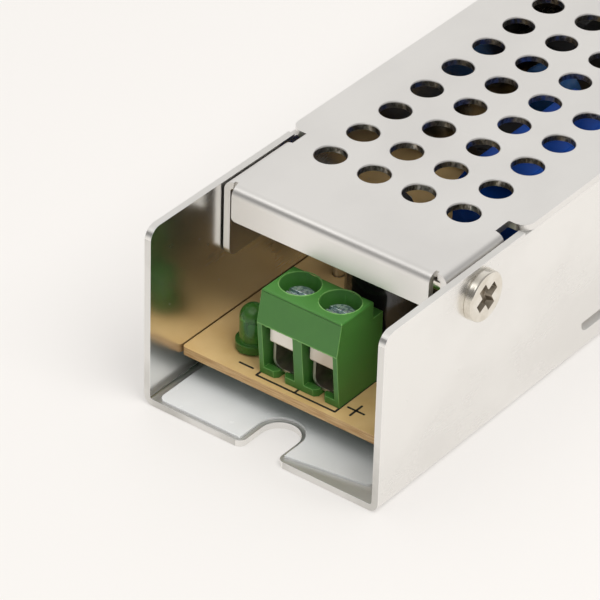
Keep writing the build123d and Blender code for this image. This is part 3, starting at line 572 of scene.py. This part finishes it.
INDICATOR_STANDOFF = 0.2
fine_copy("indicator", "cast_lamp", "supply", indicator_green, 0.06 * MM, other=tinned,
          is_other=lambda x, y, z: z < board_top + INDICATOR_STANDOFF - 0.02)
FOOT_RADIUS, POST_X, POST_SIZE, ANVIL_X, ANVIL_SIZE = 1.9, -0.75, (0.5, 0.45), 0.3, (1.25, 0.5)
lamp = middle("indicator")[0]
lamp[0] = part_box("indicator")[0].x / MM + FOOT_RADIUS
post = carried(rounded_box_outline(*POST_SIZE, 0.1), [(0, 5.0), (0, 8.0), (-0.1, 8.1)])
anvil = carried(rounded_box_outline(*ANVIL_SIZE, 0.12), [(0, 5.6), (0, 7.0), (0.05, 7.5), (-0.08, 7.9)])
posts = [moved(post, (lamp[0] + POST_X, lamp[1], 0)), moved(anvil, (lamp[0] + ANVIL_X, lamp[1], 0))]
new_piece("lamp_posts", *joined(posts), "supply", "contact_tinned", tinned)

# The standing capacitors: rolled aluminium cans with a crimped groove, each shrunk into a glossy plastic
# sleeve whose upper edge is rolled over the rim and left uneven. The lid is scored so that it can open there.

WIRE_TRIM, WIRE_RADIUS = 1.5, 0.3
LEAD_FOOT = board_underside - WIRE_TRIM


def spun(profile, sides):
    """A profile of (radius, height) rows turned about Z, as rings of points; outside rows run upwards."""
    rows = np.asarray(profile, float)
    rings = np.empty((len(rows), sides, 3))
    rings[:, :, :2] = rows[:, 0, None, None] * circle(1, sides)
    rings[:, :, 2] = rows[:, 1, None]
    return rings


def tube(path, radius, across, sides=10):
    """A round wire along a path: each point gets a ring in the plane square to the path there.

    The ring's axes are the across direction, made square to the path's tangent, and their cross product.
    """
    path = np.asarray(path, float)
    tangent = np.gradient(path, axis=0)
    tangent /= np.linalg.norm(tangent, axis=1, keepdims=True)
    across = np.broadcast_to(np.asarray(across, float), path.shape)
    across = across - np.sum(across * tangent, axis=1, keepdims=True) * tangent
    across = across / np.linalg.norm(across, axis=1, keepdims=True)
    up = np.cross(tangent, across)
    ring = circle(1, sides)
    round_it = ring[:, 0, None] * across[:, None] + ring[:, 1, None] * up[:, None]
    return capped(path[:, None] + radius * round_it)


sleeve_black = moulded("can_sleeve_black", (0.012, 0.012, 0.014), (0.022, 0.021, 0.022), 0.16, 0.2 * MM,
                       450.0, Coat_Weight=0.5, Coat_Roughness=0.1)
sleeve_navy = moulded("can_sleeve_navy", (0.012, 0.018, 0.055), (0.018, 0.026, 0.075), 0.16, 0.2 * MM,
                      450.0, Coat_Weight=0.5, Coat_Roughness=0.1)
can_metal = sheet_metal("can_metal", (0.72, 0.715, 0.70), (0.58, 0.57, 0.55), 0.34, 0.4, 0.8)


def standing_can(node, slot, sleeve, pitch, seed):
    """A sleeved can with a scored lid and two wires.

    The sleeve is a profile of insets from the can's side, and its inner edge waves in and out by a few sine
    waves. The lid sinks at the score by a bell curve of the distance to the nearer of the score's two lines,
    which fades out towards the lid's rim.
    """
    centre, size = middle(node)
    place = (centre[0], centre[1], board_top)
    r, h = size[0] / 2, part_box(node)[1].z / MM - board_top
    steps = 72
    turn = np.arange(steps) * 2 * np.pi / steps
    foot = [(0.9, 0.02), (0.25, 0.0), (0.06, 0.08), (0, 0.3)]
    groove = [(0, 1.15), (0.12, 1.35), (0.35, 1.6), (0.12, 1.85), (0, 2.05)]
    rolled = [(0, 0.5), (0.06, 0.25), (0.22, 0.07), (0.5, 0), (1.0, 0.01), (1.06, 0.07), (1.1, 0.3)]
    profile = [(r - inset, z) for inset, z in foot + groove] + [(r, h * 0.5)]
    profile += [(r - inset, h - drop) for inset, drop in rolled]
    sleeve_rings = spun(profile, steps)
    wave = np.zeros(len(profile))
    wave[-4:] = (0.3, 1.0, 1.0, 0.6)
    sleeve_rings[:, :, :2] *= 1 + (0.16 / r) * wave[:, None, None] * (0.5 - ragged(turn, seed))[:, None]
    new_piece(node + "_sleeve", *moved(capped(sleeve_rings), place), "supply", slot, sleeve, [node])
    lid_radius, lid_drop, score_depth, score_width = r - 1.0, 0.17, 0.1, 0.16
    reach = lid_radius * np.array([1.0, 1.0, 0.98, 0.93, 0.86, 0.75, 0.62, 0.5, 0.38, 0.27, 0.17, 0.08, 0.02])
    lid = spun(np.column_stack([reach, np.full(len(reach), h - lid_drop)]), steps)
    lid[0, :, 2] -= 0.1
    away = np.minimum(np.abs(lid[:, :, 0]), np.abs(lid[:, :, 1]))
    fade = np.clip((r - 1.4 - np.hypot(lid[:, :, 0], lid[:, :, 1])) / 0.5, 0, 1)
    lid[:, :, 2] -= score_depth * fade * np.exp(-(away / score_width) ** 2)
    new_piece(node + "_lid", *moved(capped(lid), place), "supply", "case_sheet", can_metal)
    heights = (board_top + 0.03, LEAD_FOOT + 0.5, LEAD_FOOT)
    wires = [tube([(centre[0] + side * pitch / 2, centre[1], z) for z in heights], WIRE_RADIUS, (1, 0, 0))
             for side in (-1, 1)]
    new_piece(node + "_wires", *joined(wires), "supply", "contact_tinned", tinned)


standing_can("output_capacitor", "can_sleeve_black", sleeve_black, 5.0, 71)
standing_can("filter_capacitor", "can_sleeve_navy", sleeve_navy, 3.5, 73)
standing_can("mains_capacitor", "can_sleeve_black", sleeve_black, 5.0, 75)

# The diode and the two moulded packages: black or white epoxy, satin, on tinned wires or legs that are bent
# down through the board. A pale band is painted round the diode's marked end.

package_black = moulded("package_black", (0.022, 0.022, 0.023), (0.034, 0.033, 0.033), 0.42, 0.008 * MM)
package_white = moulded("package_white", (0.50, 0.50, 0.47), (0.42, 0.42, 0.39), 0.40, 0.008 * MM)
band_paint = moulded("band_paint", (0.62, 0.62, 0.60), (0.48, 0.48, 0.46), 0.45, 0.004 * MM)
PACKAGE_HALF, PACKAGE_STANDOFF, DIODE_HALF, SEAM = 3.2, 0.5, 4.5, 0.05
diode = middle("output_diode")[0]
fine_copy("output_diode", "moulded_diode", "supply", package_black, 0.12 * MM, other=tinned,
          is_other=lambda x, y, z: np.abs(y - diode[1]) > DIODE_HALF + SEAM)
DIODE_RADIUS, DIODE_STANDOFF, BAND_WIDTH, BAND_PLACE, BAND_STEPS = 2.6, 0.4, 1.1, 2.4, 60
inside, outside = DIODE_RADIUS - 0.05, DIODE_RADIUS + 0.015
band = spun([(inside, 0), (outside, 0), (outside, BAND_WIDTH), (inside, BAND_WIDTH)], BAND_STEPS)
LYING = [[1, 0, 0], [0, 0, 1], [0, -1, 0]]
new_piece("diode_band", *moved((band.reshape(-1, 3), ring_faces(len(band), BAND_STEPS, closed=True)),
                               (diode[0], diode[1] + BAND_PLACE, board_top + DIODE_STANDOFF + DIODE_RADIUS),
                               LYING),
          "supply", "package_white", band_paint)
leg_half, leg_top = PACKAGE_HALF + 0.03, board_top + PACKAGE_STANDOFF - SEAM
coupler = middle("optocoupler")[0]
fine_copy("optocoupler", "moulded_coupler", "supply", package_white, 0.07 * MM, other=tinned,
          is_other=lambda x, y, z: (np.abs(y - coupler[1]) > leg_half) | (z < leg_top))
chip = middle("controller_chip")[0]
fine_copy("controller_chip", "moulded_chip", "supply", package_black, 0.07 * MM,
          other=tinned, is_other=lambda x, y, z: (np.abs(x - chip[0]) > leg_half) | (z < leg_top))

# The transformer: two ground ferrite halves pushed into a black former, the coil wound between its cheeks,
# and wide blue polyester tape over all of it, its last turn cut off square on top.

ferrite = moulded("ferrite", (0.055, 0.054, 0.056), (0.085, 0.083, 0.083), 0.5, 0.012 * MM, 3500.0)
former_black = moulded("former_black", (0.028, 0.028, 0.028), (0.042, 0.041, 0.04), 0.4, 0.008 * MM)
tape_blue = moulded("tape_blue", (0.003, 0.060, 0.36), (0.006, 0.085, 0.46), 0.36, 0.04 * MM, 700.0,
                    Specular_IOR_Level=0.3)
for half in ("front", "rear"):
    fine_copy("transformer_core_" + half, "ferrite_" + half, "supply", ferrite, 0.15 * MM)
fine_copy("transformer_bobbin", "coil_former", "supply", former_black, 0.10 * MM,
          other=tinned, is_other=under_board)
fine_copy("transformer_winding", "wound_coil", "supply", tape_blue, 0.10 * MM)
fine_copy("transformer_core_tape", "core_tape", "supply", tape_blue, 0.12 * MM)
coil, size = middle("transformer_core_tape")
tape_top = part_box("transformer_core_tape")[1].z / MM
FLAP_WIDTH, FLAP_LENGTH, FLAP_SHIFT = 4.6, 18.2, 1.8
flap = rounded_box_outline(FLAP_WIDTH, FLAP_LENGTH, 0.15)
flap = carried(flap, [(0, -0.02), (0.02, 0.03), (-0.03, 0.07)])
new_piece("tape_end", *moved(flap, (coil[0] - FLAP_SHIFT, coil[1], tape_top)), "supply", "tape_blue",
          tape_blue)
CORE_TOP, CORE_HALF, COVER_STRIP = 13.5, 9.62, 2.6
strip = rounded_box_outline(size[0] - 0.1, COVER_STRIP, 0.1)
strip = carried(strip, [(0, 0), (0.03, 0.04), (-0.04, 0.1)])
cover_up = [moved(strip, (coil[0], coil[1] + way * (CORE_HALF - COVER_STRIP / 2), CORE_TOP))
            for way in (-1, 1)]
new_piece("core_top_tape", *joined(cover_up), "supply", "tape_blue", tape_blue)
copper = worn_metal("copper_wire", (0.66, 0.28, 0.10), (0.40, 0.14, 0.05), 0.18, 0.34, 0.01 * MM,
                    wear={"Pit Scale": 3000}, Coat_Weight=0.6)
RAIL_FACE, PIN_PITCH, COIL_WIRE_RADIUS, COIL_WIRE_TOP, COIL_WIRE_FOOT = 9.5, 3.6, 0.14, 8.1, 5.0
ends = []
for way in (-1, 1):
    for x in (np.arange(4) - 1.5) * PIN_PITCH + coil[0]:
        y = coil[1] + way * (RAIL_FACE + 0.1)
        drop = [(x, y, z) for z in np.linspace(COIL_WIRE_TOP, COIL_WIRE_FOOT, 8)]
        ends.append(tube(drop, COIL_WIRE_RADIUS, (1, 0, 0), 8))
new_piece("coil_wire_ends", *joined(ends), "supply", "copper_wire", copper)

# The dipped parts: ceramic discs on two wires, dipped in resin that has run a little way down the wires and
# set glossy and uneven. They stand on the board, with their wires soldered under it.

disc_blue = moulded("disc_blue", (0.035, 0.13, 0.36), (0.05, 0.17, 0.42), 0.16, 0.05 * MM, 600.0,
                    Coat_Weight=0.6)
disc_green = moulded("disc_green", (0.045, 0.14, 0.07), (0.06, 0.18, 0.09), 0.22, 0.05 * MM, 600.0,
                     Coat_Weight=0.4)
LEAD_RISE = 1.2
LEAD_PITCH = {"x": 6.0, "y": 5.0}


def dipped(node, slot, resin, across, seed):
    """A dipped disc on two wires: a flattened ball with an uneven rim and a run of resin over each wire.

    Round the disc the radius is the sine of the angle from the axis to a low power, and the half thickness
    its cosine to a higher one. Below the middle, points near a wire are drawn down by a bell curve.
    """
    centre, size = middle(node)
    thickness = size[1] if across == "x" else size[0]
    radius = (size[0] if across == "x" else size[1]) / 2
    pitch = LEAD_PITCH[across]
    height = board_top + LEAD_RISE + radius
    steps, pole_hole = 56, 0.06
    polar = np.linspace(pole_hole, np.pi - pole_hole, 26)[:, None]
    turn = (np.arange(steps) * 2 * np.pi / steps)[None, :]
    uneven = 1 - 0.03 * ragged(turn[0], seed)[None, :]
    flat = radius * np.sin(polar) ** 0.5 * uneven
    depth = -thickness / 2 * np.sign(np.cos(polar)) * np.abs(np.cos(polar)) ** 0.75 * np.ones_like(turn)
    x, z = flat * np.cos(turn), flat * np.sin(turn)
    run = sum(np.exp(-((x - side * pitch / 2) / 0.5) ** 2) for side in (-1, 1))
    z = z - 0.9 * run * np.clip(-np.sin(turn), 0, 1) * np.exp(-(depth / (0.45 * thickness)) ** 4)
    rings = np.stack([x, -depth, z], axis=-1)
    turned_to = np.eye(3) if across == "x" else np.array([[0, -1, 0], [1, 0, 0], [0, 0, 1.0]])
    place = (centre[0], centre[1], height)
    new_piece(node + "_disc", *moved(capped(rings), place, turned_to), "supply", slot, resin, [node], 60)
    wires = []
    levels = (-radius * 0.5, -radius - 0.8, LEAD_FOOT - height + 0.4, LEAD_FOOT - height)
    for side in (-1, 1):
        path = [(side * pitch / 2, 0, z) for z in levels]
        wires.append(moved(tube(path, WIRE_RADIUS, (1, 0, 0)), place, turned_to))
    new_piece(node + "_wires", *joined(wires), "supply", "contact_tinned", tinned)


dipped("safety_capacitor", "disc_blue", disc_blue, "x", 81)
dipped("thermistor", "disc_green", disc_green, "y", 83)

# The mains side's moulded parts: the flat black bridge rectifier, which stands on four wires, the grey film
# capacitor and the round brown fuse. All are satin and soldered to the board.

box_grey = moulded("box_grey", (0.42, 0.43, 0.43), (0.50, 0.51, 0.51), 0.3, 0.008 * MM)
fuse_brown = moulded("fuse_brown", (0.13, 0.055, 0.03), (0.17, 0.075, 0.04), 0.34, 0.008 * MM)
BRIDGE_STANDOFF = 1.4
fine_copy("bridge_rectifier", "moulded_bridge", "supply", package_black, 0.2 * MM,
          other=tinned, is_other=lambda x, y, z: z < board_top + BRIDGE_STANDOFF - 0.05)
fine_copy("film_capacitor", "moulded_box", "supply", box_grey, 0.12 * MM, other=tinned,
          is_other=under_board)
fine_copy("fuse", "moulded_fuse", "supply", fuse_brown, 0.15 * MM, other=tinned,
          is_other=under_board)

# The choke: enamelled copper wound round the neck of a ground ferrite drum, each turn lying against the
# next. The drum stands on the board, with its two wires soldered under it.

fine_copy("choke_core", "ferrite_drum", "supply", ferrite, 0.18 * MM, other=tinned,
          is_other=under_board)
choke, size = middle("choke_winding")
TURNS, INNER, STEPS, CHOKE_SIDES = 16, 2.3, 7, 40
outer = size[0] / 2
pitch = size[2] / TURNS
steps = np.tile(np.linspace(-np.pi / 2, np.pi / 2, STEPS), TURNS)
heights = (np.repeat(np.arange(TURNS), STEPS) + 0.5) * pitch + np.sin(steps) * pitch * 0.49
profile = np.column_stack([outer - pitch / 2 + np.cos(steps) * pitch / 2, heights])
profile = np.vstack([(INNER, profile[0, 1]), profile, (INNER, profile[-1, 1])])
turns = spun(profile, CHOKE_SIDES)
new_piece("choke_turns", *moved((turns.reshape(-1, 3), ring_faces(len(turns), CHOKE_SIDES, closed=True)),
                                (choke[0], choke[1], choke[2] - size[2] / 2)),
          "supply", "copper_wire", copper, ["choke_winding"], 80)

# The solder: tin, bright and slightly clouded. Every wire ends under the board in a cone of it that rose
# round the wire as it was soldered.


def wire_ends(node):
    """Where a node's wires end under the board: the middle of each close group of its lowest points."""
    mesh = nodes[node].data
    points = np.empty(3 * len(mesh.vertices))
    mesh.vertices.foreach_get("co", points)
    points = points.reshape(-1, 3) / MM
    close = 1.3
    flat = points[points[:, 2] < LEAD_FOOT + 0.1][:, :2]
    if not len(flat):
        return flat
    apart = np.linalg.norm(flat[:, None] - flat[None], axis=2)
    group = (apart < close).argmax(axis=1)
    return np.array([flat[group == g].mean(axis=0) for g in np.unique(group)])


solder = worn_metal("solder", (0.78, 0.78, 0.77), (0.60, 0.59, 0.57), 0.14, 0.34, 0.02 * MM,
                    wear={"Cloud Scale": 1500, "Pit Scale": 2000})
cone = spun([(0.12, -1.6), (0.34, -1.52), (0.4, -1.2), (0.46, -0.9), (0.56, -0.6), (0.74, -0.32),
             (0.98, -0.14), (1.1, -0.06), (1.12, 0.0)], 20)
UNSOLDERED = ("base_channel", "cover", "insulating_sheet", "circuit_board")
soldered = [node for node in nodes if node not in UNSOLDERED]
cones = [moved(capped(cone), (x, y, board_underside)) for node in soldered for x, y in wire_ends(node)]
new_piece("solder_joints", *joined(cones), "supply", "contact_tinned", solder, (), 50)

# The cover: aluminium sheet, satin, that rests on the walls, its narrower ends turned down to side flanges
# and end lips. Its round vents are punched, so their rims are rounded over and their walls torn. The walls'
# colour, from pale grey to near black, is partly the torn metal's own and partly painted shade in the holes.

cover_sheet = sheet_metal("cover_sheet", (0.87, 0.855, 0.83), (0.79, 0.775, 0.755), 0.30, 0.5, 0.5)
# The vent walls' colour runs by a noise from pale grey to near black: partly the tear, partly painted shade.
punched_wall_and_shade, tree, shader = finish("punched_wall_and_shade", (0.46, 0.45, 0.42), 0.36, 1.0)
point = put(tree, "TexCoord").outputs["Object"]
torn_and_shaded = ranged(tree, speckle(tree, point, 1900, 3.0, (1, 1, 0.6)), 0.40, 0.62)
tree.links.new(blended(tree, torn_and_shaded, (0.66, 0.64, 0.60), (0.16, 0.15, 0.13)), shader.inputs["Base Color"])
tree.links.new(ranged(tree, torn_and_shaded, 0, 1, 0.28, 0.5), shader.inputs["Roughness"])
raised(tree, shader, torn_and_shaded, 0.02 * MM)
COVER_TOP, SHEET = cad_bounds[1][2] / MM, 0.8
VENTED_HALF_WIDTH, VENTED_HALF_LENGTH, ROUNDED_RIM = 10.6, 30.5, 0.18 * MM


def in_vents(x, y):
    """The part of the cover that the vents fill, from its middle lines."""
    return (np.abs(x) < VENTED_HALF_WIDTH) & (np.abs(y) < VENTED_HALF_LENGTH)


def in_vent_wall(x, y, z):
    """The vents' walls: faces of the vented part whose middles lie half way through the sheet."""
    return (np.abs(z - COVER_TOP + SHEET / 2) < 0.12) & in_vents(x, y)


# The cover's rounded edges take the paler rim colour, a painted highlight.
fine_copy("cover", "vented_cover", "supply", cover_sheet, 0.13 * MM, rim=rim_painted_highlight,
          other=punched_wall_and_shade, is_other=in_vent_wall, worn_by=ROUNDED_RIM,
          is_worn=lambda x, y, z: abs(z - COVER_TOP) < 0.01 and in_vents(x, y))

# The cover screws: nickel plated steel pan heads with a cross recess, one through each wall into the cover's
# flange. Beside the CAD piece the head is a little flatter and fuller, as the photo has it, and the cross is
# wider and turned. The recess is coloured a darker brown than the head: painted shade.

nickel = worn_metal("screw_nickel", (0.84, 0.805, 0.735), (0.72, 0.67, 0.58), 0.07, 0.18, 0.008 * MM)
# The darker brown on the recess's floor and walls is painted shade.
recess = moulded("screw_recess_painted_shade", (0.40, 0.35, 0.28), (0.28, 0.24, 0.19), 0.34, 0.01 * MM, Metallic=1.0)
HEAD_TURN, WALL_OUTSIDE, FLATTER, ARM_HALF, WIDER = math.radians(30), 15.0, 0.8, 0.55, 1.4
RECESS_RADIUS, RECESS_FLOOR, RECESS_MOUTH = 1.9, 0.02, 1.12
DOME_RADIUS, RIM_FOOT, RIM_SHOULDER, FOOT_RIM_RADIUS, TOP_RIM_RADIUS = 2.0, 0.5, 1.0, 2.76, 2.62


def in_recess(x, y, z):
    """The recess's floor and walls: faces near the screw's axis, between the wall and the head's top."""
    out = np.abs(x) - WALL_OUTSIDE
    return (out > RECESS_FLOOR) & (out < RECESS_MOUTH) & (np.hypot(y, z) < RECESS_RADIUS)


for place in ("output_right", "mains_left"):
    node = "cover_screw_" + place
    axis = middle(node)[0]
    screw = fine_copy(node, "pan_head_screw_" + place, "supply", nickel, 0.06 * MM,
                      other=recess, is_other=lambda x, y, z: in_recess(x, y - axis[1], z - axis[2]))
    points = np.empty(3 * len(screw.data.vertices))
    screw.data.vertices.foreach_get("co", points)
    points = points.reshape(-1, 3)
    out = np.abs(points[:, 0]) / MM - WALL_OUTSIDE
    y, z = points[:, 1] / MM - axis[1], points[:, 2] / MM - axis[2]
    away = np.hypot(y, z)
    rim = (out > RIM_FOOT) & (away > DOME_RADIUS)
    rim_radius = np.where(out > RIM_SHOULDER, TOP_RIM_RADIUS, FOOT_RIM_RADIUS)
    fuller = np.where(rim, rim_radius / np.maximum(away, 1e-6), 1.0)
    y, z = y * fuller, z * fuller
    cross = (out > 0) & (away < RECESS_RADIUS)
    y = np.where(cross & (np.abs(y) < ARM_HALF), y * WIDER, y)
    z = np.where(cross & (np.abs(z) < ARM_HALF), z * WIDER, z)
    points[:, 0] = np.sign(points[:, 0]) * (WALL_OUTSIDE + np.where(out > 0, out * FLATTER, out)) * MM
    points[:, 1] = (axis[1] + y * math.cos(HEAD_TURN) - z * math.sin(HEAD_TURN)) * MM
    points[:, 2] = (axis[2] + y * math.sin(HEAD_TURN) + z * math.cos(HEAD_TURN)) * MM
    screw.data.vertices.foreach_set("co", points.ravel())
    screw.data.update()

# The table: a white matt sheet that glows a little where the camera or a reflection sees it. It lies just
# under the channel's floor and is clear from below, so that the underside can be seen.

floor_mesh = bpy.data.meshes.new("table_top")
reach, table_z = 3.0, -0.01 * MM
floor_mesh.from_pydata([(-reach, -reach, table_z), (reach, -reach, table_z), (reach, reach, table_z),
                        (-reach, reach, table_z)], [], [(0, 1, 2, 3)])
table = bpy.data.objects.new("table_top", floor_mesh)
bpy.context.scene.collection.objects.link(table)
material, tree, shader = finish("table_white", (0.88, 0.865, 0.845), 0.5)
glow = put(tree, "Emission", {"Color": (0.93, 0.895, 0.865, 1), "Strength": 1.0})
paths = put(tree, "LightPath").outputs
seen = larger(tree, paths["Is Camera Ray"], paths["Is Glossy Ray"])
seen = larger(tree, seen, paths["Is Transmission Ray"])
both = put(tree, "MixShader", {0: product(tree, seen, 0.42), 1: shader.outputs[0], 2: glow.outputs[0]})
from_below = put(tree, "NewGeometry").outputs["Backfacing"]
clear = put(tree, "BsdfTransparent").outputs[0]
whole = put(tree, "MixShader", {0: from_below, 1: both.outputs[0], 2: clear})
tree.links.new(whole.outputs[0], tree.nodes["Material Output"].inputs["Surface"])
floor_mesh.materials.append(material)

# The room round it: soft light from above, and for reflections a pale room that is dark ahead and to the
# right, has a bright patch overhead, as the photo's metal shows, and is a little dimmer straight above.

world = bpy.data.worlds.new("studio")
bpy.context.scene.world = world
world.use_nodes = True
tree = world.node_tree
sky = tree.nodes["Background"]
sky.inputs["Color"].default_value = (1.0, 0.985, 0.965, 1)
paths = put(tree, "LightPath").outputs
seen = larger(tree, paths["Is Camera Ray"], paths["Is Glossy Ray"])
way = put(tree, "SeparateXYZ", {0: put(tree, "TexCoord").outputs["Generated"]}).outputs
soft = ranged(tree, way["Z"], 0.1, 1, 0.0, 1.12)
mirrored = ranged(tree, way["Z"], 0, 0.6, 0.70, 0.84)
room = product(tree, ranged(tree, way["Y"], -0.05, -0.4), ranged(tree, way["Z"], 0.03, 0.3))
room = product(tree, room, ranged(tree, way["Z"], 0.75, 0.58))
side = product(tree, ranged(tree, way["X"], 0.2, 0.5), ranged(tree, way["Z"], 0.1, 0.35))
dark = put(tree, "Math", {0: side, 1: 0.8, 2: room}, operation="MULTIPLY_ADD", use_clamp=True).outputs[0]
overhead = product(tree, ranged(tree, way["Y"], -0.15, -0.4), ranged(tree, way["Z"], 0.62, 0.76))
overhead = product(tree, overhead, ranged(tree, way["Z"], 0.95, 0.85))
zenith = ranged(tree, way["Z"], 0.82, 0.98)
mirrored = added(tree, dark, -0.55, mirrored)
mirrored = added(tree, overhead, 0.6, mirrored)
mirrored = added(tree, zenith, -0.25, mirrored)
level = put(tree, "Mix", {"Factor": seen, "A": soft, "B": mirrored}, data_type="FLOAT").outputs[0]
tree.links.new(level, sky.inputs["Strength"])


# The key light: one large soft lamp above the right side. Its square is kept out of reflections, which are
# the room's alone.


def softbox(name, place, aim, size, power):
    """A square soft light at a place, turned to face a point: its own -Z axis is laid along the way to it."""
    lamp = bpy.data.lights.new(name, "AREA")
    lamp.size = size
    lamp.energy = power
    lamp.color = (1, 0.985, 0.96)
    holder = bpy.data.objects.new(name, lamp)
    holder.location = place
    holder.visible_glossy = False
    holder.rotation_euler = (Vector(aim) - Vector(place)).to_track_quat("-Z", "Y").to_euler()
    bpy.context.scene.collection.objects.link(holder)


softbox("key_light", (0.45, -0.10, 0.75), (0, 0, 0), 0.6, 4.5)

# The camera: the photo's own view, from above the output end's right corner. Its place, turn and lens were
# fitted to the straight edges and to the vents in the photo.

view = bpy.data.cameras.new("photo_view")
view.sensor_width = 36
view.lens = 246.72
view.shift_x = -0.0015
view.shift_y = 0.0025
view.clip_start = 0.01
view.clip_end = 20
camera = bpy.data.objects.new("photo_view", view)
camera.location = (0.201539, -0.316278, 0.249292)
camera.rotation_euler = tuple(math.radians(a) for a in (55.4116, -1.4247, 37.4802))
bpy.context.scene.collection.objects.link(camera)
bpy.context.scene.camera = camera
bpy.context.scene.view_settings.view_transform = "Standard"
